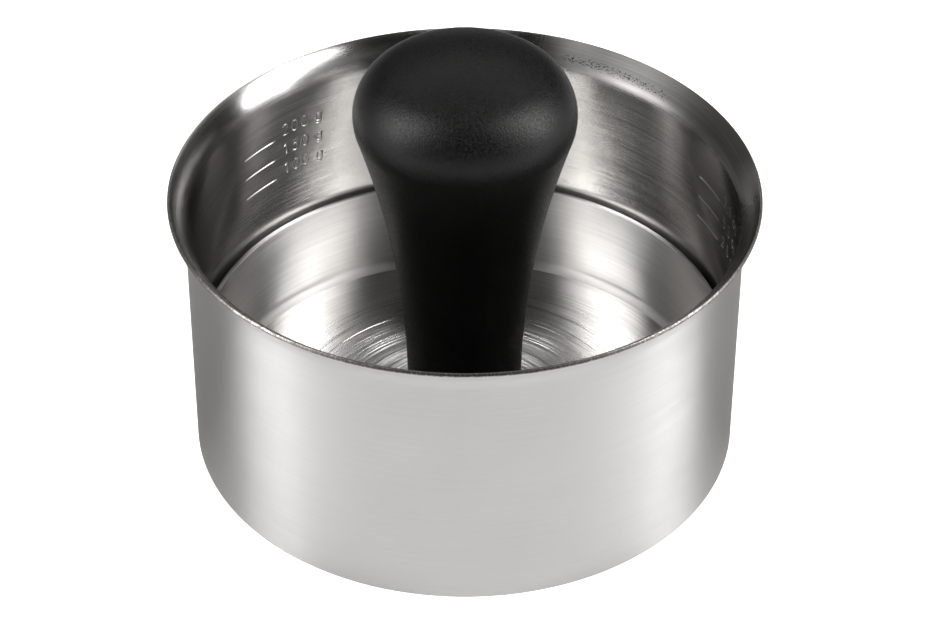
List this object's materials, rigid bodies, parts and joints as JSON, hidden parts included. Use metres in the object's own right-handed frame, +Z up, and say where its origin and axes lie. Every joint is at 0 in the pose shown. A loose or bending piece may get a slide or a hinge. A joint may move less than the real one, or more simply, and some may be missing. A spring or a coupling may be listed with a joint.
{
  "type": "patty press",
  "caption": "Burger patty press: a flared steel forming ring, and a shallow pan-shaped press plate that slides inside it under an upright handle with a rounded head.",
  "frame": {"origin": "centre of the ring's lower edge, on the surface that the ring and the press plate stand on", "axes": "+Z up along the common axis of the ring, the plate and the handle; +X to the right of someone facing the side between the two scales, with the gram scale on their left; +Y away from them"},
  "size_m": [0.1206, 0.1206, 0.0913],
  "materials": {
    "ring_steel": "satin, brushed round the wall",
    "plate_steel": "satin, turned in circles",
    "stud_steel": "plain bright",
    "silicone": "matt",
    "brass": "as turned",
    "core_plastic": "as moulded",
    "grip_plastic": "matt, fine soft-touch grain"
  },
  "bodies": {
    "ring": {"forming_ring": "ring_steel"},
    "press": {"press_plate": "plate_steel", "weld_stud": "stud_steel", "foot_seal": "silicone", "thread_insert": "brass", "handle_core": "core_plastic", "handle_grip": "grip_plastic"}
  },
  "joints": [
    {"name": "press_slide", "type": "slide", "parent": "ring", "child": "press", "axis": [0, 0, 1], "range_m": [0, 0.07]}
  ]
}
